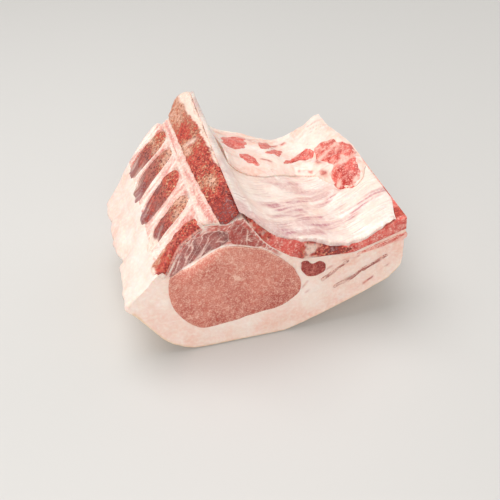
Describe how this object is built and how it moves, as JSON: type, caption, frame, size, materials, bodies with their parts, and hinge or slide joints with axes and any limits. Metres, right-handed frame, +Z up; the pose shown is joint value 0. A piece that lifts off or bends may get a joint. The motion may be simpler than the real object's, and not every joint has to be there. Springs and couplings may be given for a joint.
{
  "type": "pork rack",
  "caption": "Raw pork loin rack lying on its rind, sawn along the backbone, with rib ends and belly flap on one side and the loin eye on the front cut.",
  "frame": {"origin": "centre of the bounding box at its bottom, on the surface that the rind lies on", "axes": "+X from the back fat to the rib ends, +Y along the loin from the front cut to the back cut, +Z up"},
  "size_m": [0.1884, 0.152, 0.116],
  "materials": {
    "fat": "soft creamy white fat, satin and slightly waxy",
    "loin": "moist muted pink cut meat with fine pale grain",
    "dark_meat": "moist dark red cut meat",
    "red_meat": "moist bright red cut meat",
    "bone": "sawn spongy bone, granular, brownish red with tan patches",
    "cartilage": "smooth white cartilage and membrane, satin",
    "lining": "glossy white and pink membrane"
  },
  "bodies": {
    "root": {"belly_lean": "red_meat", "canal_lining": "cartilage", "diaphragm": "dark_meat", "disc_1": "cartilage", "disc_2": "cartilage", "disc_3": "cartilage", "disc_4": "cartilage", "fat_and_rind": "fat", "flank_lean": "red_meat", "grey_lean": "loin", "ligament_1": "cartilage", "ligament_2": "cartilage", "ligament_3": "cartilage", "ligament_4": "cartilage", "ligament_5": "cartilage", "loin_eye": "loin", "multifidus_muscle": "red_meat", "rib_1": "bone", "rib_2": "bone", "rib_3": "bone", "rib_4": "bone", "rib_5": "bone", "rib_6": "bone", "rib_7": "bone", "rib_lining": "lining", "rib_meat_1": "red_meat", "rib_meat_2": "red_meat", "rib_meat_3": "red_meat", "rib_meat_4": "red_meat", "rib_meat_5": "red_meat", "rib_meat_6": "red_meat", "rib_meat_7": "red_meat", "rib_meat_8": "red_meat", "rim_fat": "fat", "rim_meat_1": "red_meat", "rim_meat_2": "red_meat", "rim_meat_3": "red_meat", "rim_meat_4": "red_meat", "rim_meat_5": "red_meat", "side_muscle": "dark_meat", "spinalis_muscle": "red_meat", "vertebra_1": "bone", "vertebra_2": "bone", "vertebra_3": "bone", "vertebra_4": "bone", "vertebra_5": "bone"}
  },
  "joints": []
}
